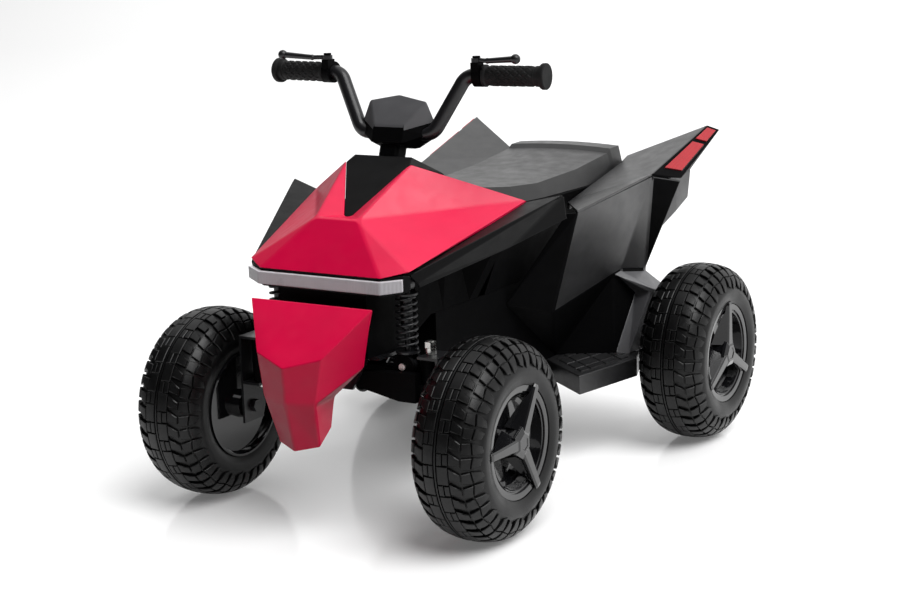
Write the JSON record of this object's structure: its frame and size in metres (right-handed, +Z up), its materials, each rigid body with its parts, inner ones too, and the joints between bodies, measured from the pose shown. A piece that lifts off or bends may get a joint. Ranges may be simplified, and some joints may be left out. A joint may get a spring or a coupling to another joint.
{
  "type": "kids quad bike",
  "caption": "Child-size ride-on quad bike with faceted body panels, sprung front arms, steerable front wheels, handlebar, seat, footboards and rear drive.",
  "frame": {"origin": "on the floor, below the middle of the overall box at rest", "axes": "+Z up, front towards -Y, the rider's left towards +X"},
  "size_m": [0.725, 0.975, 0.6905],
  "materials": {
    "red_plastic": "satin moulded",
    "black_plastic": "fine grained",
    "gloss_black": "gloss",
    "light_cover": "satin",
    "red_lens": "gloss",
    "grip_rubber": "matte",
    "tyre": "matte",
    "black_metal": "gloss",
    "steel": "zinc plated"
  },
  "bodies": {
    "chassis": {"chassis_tub": "black_plastic", "body_core": "black_plastic", "hood": "red_plastic", "hood_insert": "black_plastic", "nose_guard": "red_plastic", "light_bar": "light_cover", "light_bezel": "black_plastic", "front_fender_left": "black_plastic", "front_fender_right": "black_plastic", "side_panel_left": "black_plastic", "side_panel_right": "black_plastic", "rear_fender_left": "black_plastic", "rear_fender_right": "black_plastic", "tail_lenses": "red_lens", "seat": "black_plastic", "tail_box": "black_plastic", "footboard_left": "black_plastic", "footboard_right": "black_plastic", "battery": "black_plastic", "control_box": "black_plastic", "front_subframe": "black_metal", "rear_axle": "steel", "gear_motors": "black_plastic", "fasteners": "steel"},
    "steering": {"steering_column": "black_metal", "handlebar": "black_metal", "bar_pod": "black_plastic", "bar_stem": "black_plastic", "handlebar_grips": "grip_rubber", "lever_clamps": "black_plastic"},
    "pedal": {"accelerator_pedal": "black_plastic"},
    "button": {"power_button": "black_plastic"},
    "brake_lever_l": {"brake_lever_left": "black_plastic"},
    "arm_left": {"swing_arm_left": "black_plastic", "arm_bolts_left": "steel"},
    "shock_upper_left": {"shock_body_left": "black_metal", "shock_spring_left": "black_metal"},
    "shock_lower_left": {"shock_rod_left": "steel"},
    "steer_hub_left": {"knuckle_left": "black_metal"},
    "tie_left": {"tie_rod_left": "black_metal"},
    "wheel_front_left": {"tyre_front_left": "tyre", "rim_front_left": "gloss_black", "hub_cap_front_left": "gloss_black"},
    "wheel_rear_left": {"tyre_rear_left": "tyre", "rim_rear_left": "gloss_black", "hub_cap_rear_left": "gloss_black"},
    "brake_lever_r": {"brake_lever_right": "black_plastic"},
    "arm_right": {"swing_arm_right": "black_plastic", "arm_bolts_right": "steel"},
    "shock_upper_right": {"shock_body_right": "black_metal", "shock_spring_right": "black_metal"},
    "shock_lower_right": {"shock_rod_right": "steel"},
    "steer_hub_right": {"knuckle_right": "black_metal"},
    "tie_right": {"tie_rod_right": "black_metal"},
    "wheel_front_right": {"tyre_front_right": "tyre", "rim_front_right": "gloss_black", "hub_cap_front_right": "gloss_black"},
    "wheel_rear_right": {"tyre_rear_right": "tyre", "rim_rear_right": "gloss_black", "hub_cap_rear_right": "gloss_black"}
  },
  "joints": [
    {"name": "steering_turn", "type": "hinge", "parent": "chassis", "child": "steering", "pos_m": [0, -0.172, 0.56], "axis": [0, 0.3256, 0.9455], "range_deg": [-22, 22]},
    {"name": "pedal_press", "type": "hinge", "parent": "chassis", "child": "pedal", "pos_m": [-0.155, 0.1495, 0.157], "axis": [1, 0, 0], "range_deg": [0, 10], "stiffness_Nm_per_rad": 2, "springref_deg": -8.59},
    {"name": "button_press", "type": "slide", "parent": "chassis", "child": "button", "axis": [0, -0.3387, -0.9409], "range_m": [0, 0.003], "stiffness_N_per_m": 300, "springref_m": -0.002},
    {"name": "brake_squeeze_left", "type": "hinge", "parent": "steering", "child": "brake_lever_l", "pos_m": [0.1375, -0.14944, 0.679], "axis": [0, 0, 1], "range_deg": [0, 12], "stiffness_Nm_per_rad": 0.3, "springref_deg": -5.73},
    {"name": "arm_bump_left", "type": "hinge", "parent": "chassis", "child": "arm_left", "pos_m": [0.02, -0.3315, 0.225], "axis": [0, -1, 0], "range_deg": [0, 8], "stiffness_Nm_per_rad": 60, "springref_deg": -14.32, "deforming": ["shock_spring_left"]},
    {"name": "shock_top_swing_left", "type": "hinge", "parent": "chassis", "child": "shock_upper_left", "pos_m": [0.116, -0.3315, 0.366], "axis": [0, -1, 0], "range_deg": [-2.5, 0.5]},
    {"name": "shock_low_swing_left", "type": "hinge", "parent": "arm_left", "child": "shock_lower_left", "pos_m": [0.116, -0.3315, 0.246], "axis": [0, -1, 0], "range_deg": [-10.5, 0.5]},
    {"name": "kingpin_turn_left", "type": "hinge", "parent": "arm_left", "child": "steer_hub_left", "pos_m": [0.156, -0.3315, 0.228], "axis": [0, 0, 1], "range_deg": [-22.5, 22.5]},
    {"name": "tie_rod_turn_left", "type": "hinge", "parent": "steer_hub_left", "child": "tie_left", "pos_m": [0.176, -0.2915, 0.225], "axis": [0, 0, 1], "range_deg": [-22.5, 22.5]},
    {"name": "front_wheel_spin_left", "type": "hinge", "parent": "steer_hub_left", "child": "wheel_front_left", "pos_m": [0.2515, -0.3315, 0.15], "axis": [1, 0, 0], "continuous": true},
    {"name": "rear_wheel_spin_left", "type": "hinge", "parent": "chassis", "child": "wheel_rear_left", "pos_m": [0.3005, 0.2915, 0.15], "axis": [1, 0, 0], "continuous": true},
    {"name": "brake_squeeze_right", "type": "hinge", "parent": "steering", "child": "brake_lever_r", "pos_m": [-0.1375, -0.14944, 0.679], "axis": [0, 0, -1], "range_deg": [0, 12], "stiffness_Nm_per_rad": 0.3, "springref_deg": -5.73},
    {"name": "arm_bump_right", "type": "hinge", "parent": "chassis", "child": "arm_right", "pos_m": [-0.02, -0.3315, 0.225], "axis": [0, 1, 0], "range_deg": [0, 8], "stiffness_Nm_per_rad": 60, "springref_deg": -14.32, "deforming": ["shock_spring_right"]},
    {"name": "shock_top_swing_right", "type": "hinge", "parent": "chassis", "child": "shock_upper_right", "pos_m": [-0.116, -0.3315, 0.366], "axis": [0, 1, 0], "range_deg": [-2.5, 0.5]},
    {"name": "shock_low_swing_right", "type": "hinge", "parent": "arm_right", "child": "shock_lower_right", "pos_m": [-0.116, -0.3315, 0.246], "axis": [0, 1, 0], "range_deg": [-10.5, 0.5]},
    {"name": "kingpin_turn_right", "type": "hinge", "parent": "arm_right", "child": "steer_hub_right", "pos_m": [-0.156, -0.3315, 0.228], "axis": [0, 0, 1], "range_deg": [-22.5, 22.5]},
    {"name": "tie_rod_turn_right", "type": "hinge", "parent": "steer_hub_right", "child": "tie_right", "pos_m": [-0.176, -0.2915, 0.225], "axis": [0, 0, 1], "range_deg": [-22.5, 22.5]},
    {"name": "front_wheel_spin_right", "type": "hinge", "parent": "steer_hub_right", "child": "wheel_front_right", "pos_m": [-0.2515, -0.3315, 0.15], "axis": [1, 0, 0], "continuous": true},
    {"name": "rear_wheel_spin_right", "type": "hinge", "parent": "chassis", "child": "wheel_rear_right", "pos_m": [-0.3005, 0.2915, 0.15], "axis": [1, 0, 0], "continuous": true}
  ],
  "couplings": [
    {"joint": "kingpin_turn_left", "follows": "steering_turn", "ratio": 1},
    {"joint": "tie_rod_turn_left", "follows": "steering_turn", "ratio": -1},
    {"joint": "shock_top_swing_left", "follows": "arm_bump_left", "ratio": -0.24},
    {"joint": "shock_low_swing_left", "follows": "arm_bump_left", "ratio": -1.24},
    {"joint": "kingpin_turn_right", "follows": "steering_turn", "ratio": 1},
    {"joint": "tie_rod_turn_right", "follows": "steering_turn", "ratio": -1},
    {"joint": "shock_top_swing_right", "follows": "arm_bump_right", "ratio": -0.24},
    {"joint": "shock_low_swing_right", "follows": "arm_bump_right", "ratio": -1.24}
  ]
}
